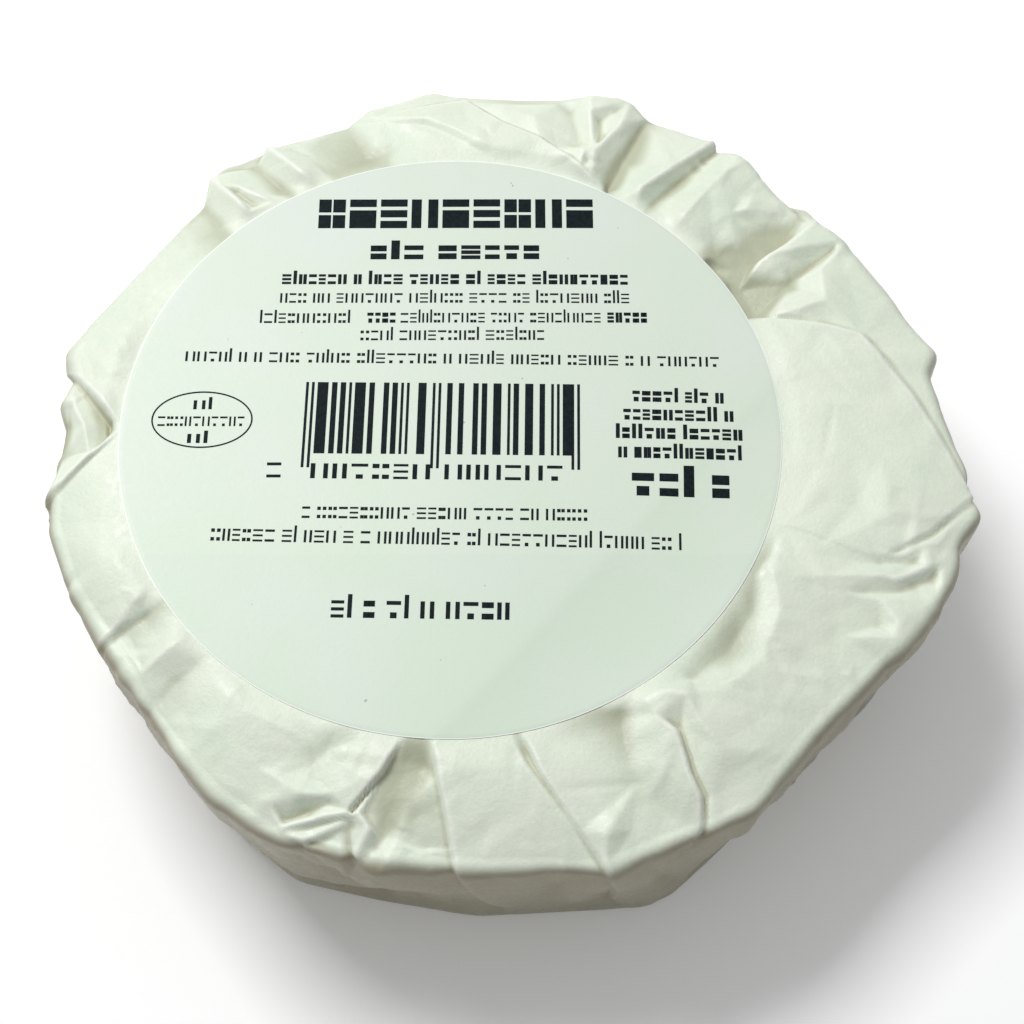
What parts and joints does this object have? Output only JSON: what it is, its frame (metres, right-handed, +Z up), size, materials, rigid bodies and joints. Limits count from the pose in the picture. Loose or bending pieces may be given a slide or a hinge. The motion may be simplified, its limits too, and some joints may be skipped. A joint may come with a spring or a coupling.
{
  "type": "wrapped camembert cheese",
  "caption": "Round soft cheese in white waxed paper, folded into pleats on the top face and pinned down by a large round paper label; lies flat on its smooth side",
  "frame": {"origin": "on the surface the pack stands on, under the middle of the pack's box", "axes": "+Z up, through the pleated face and the label; +X to the right and +Y away from a reader who sees the label's lines the right way up"},
  "size_m": [0.1052, 0.1012, 0.0293],
  "materials": {
    "wrapping_paper": "waxed, half gloss",
    "label_paper": "coated, satin"
  },
  "bodies": {
    "root": {"wrapped_cheese": "wrapping_paper", "label": "label_paper"}
  },
  "joints": []
}
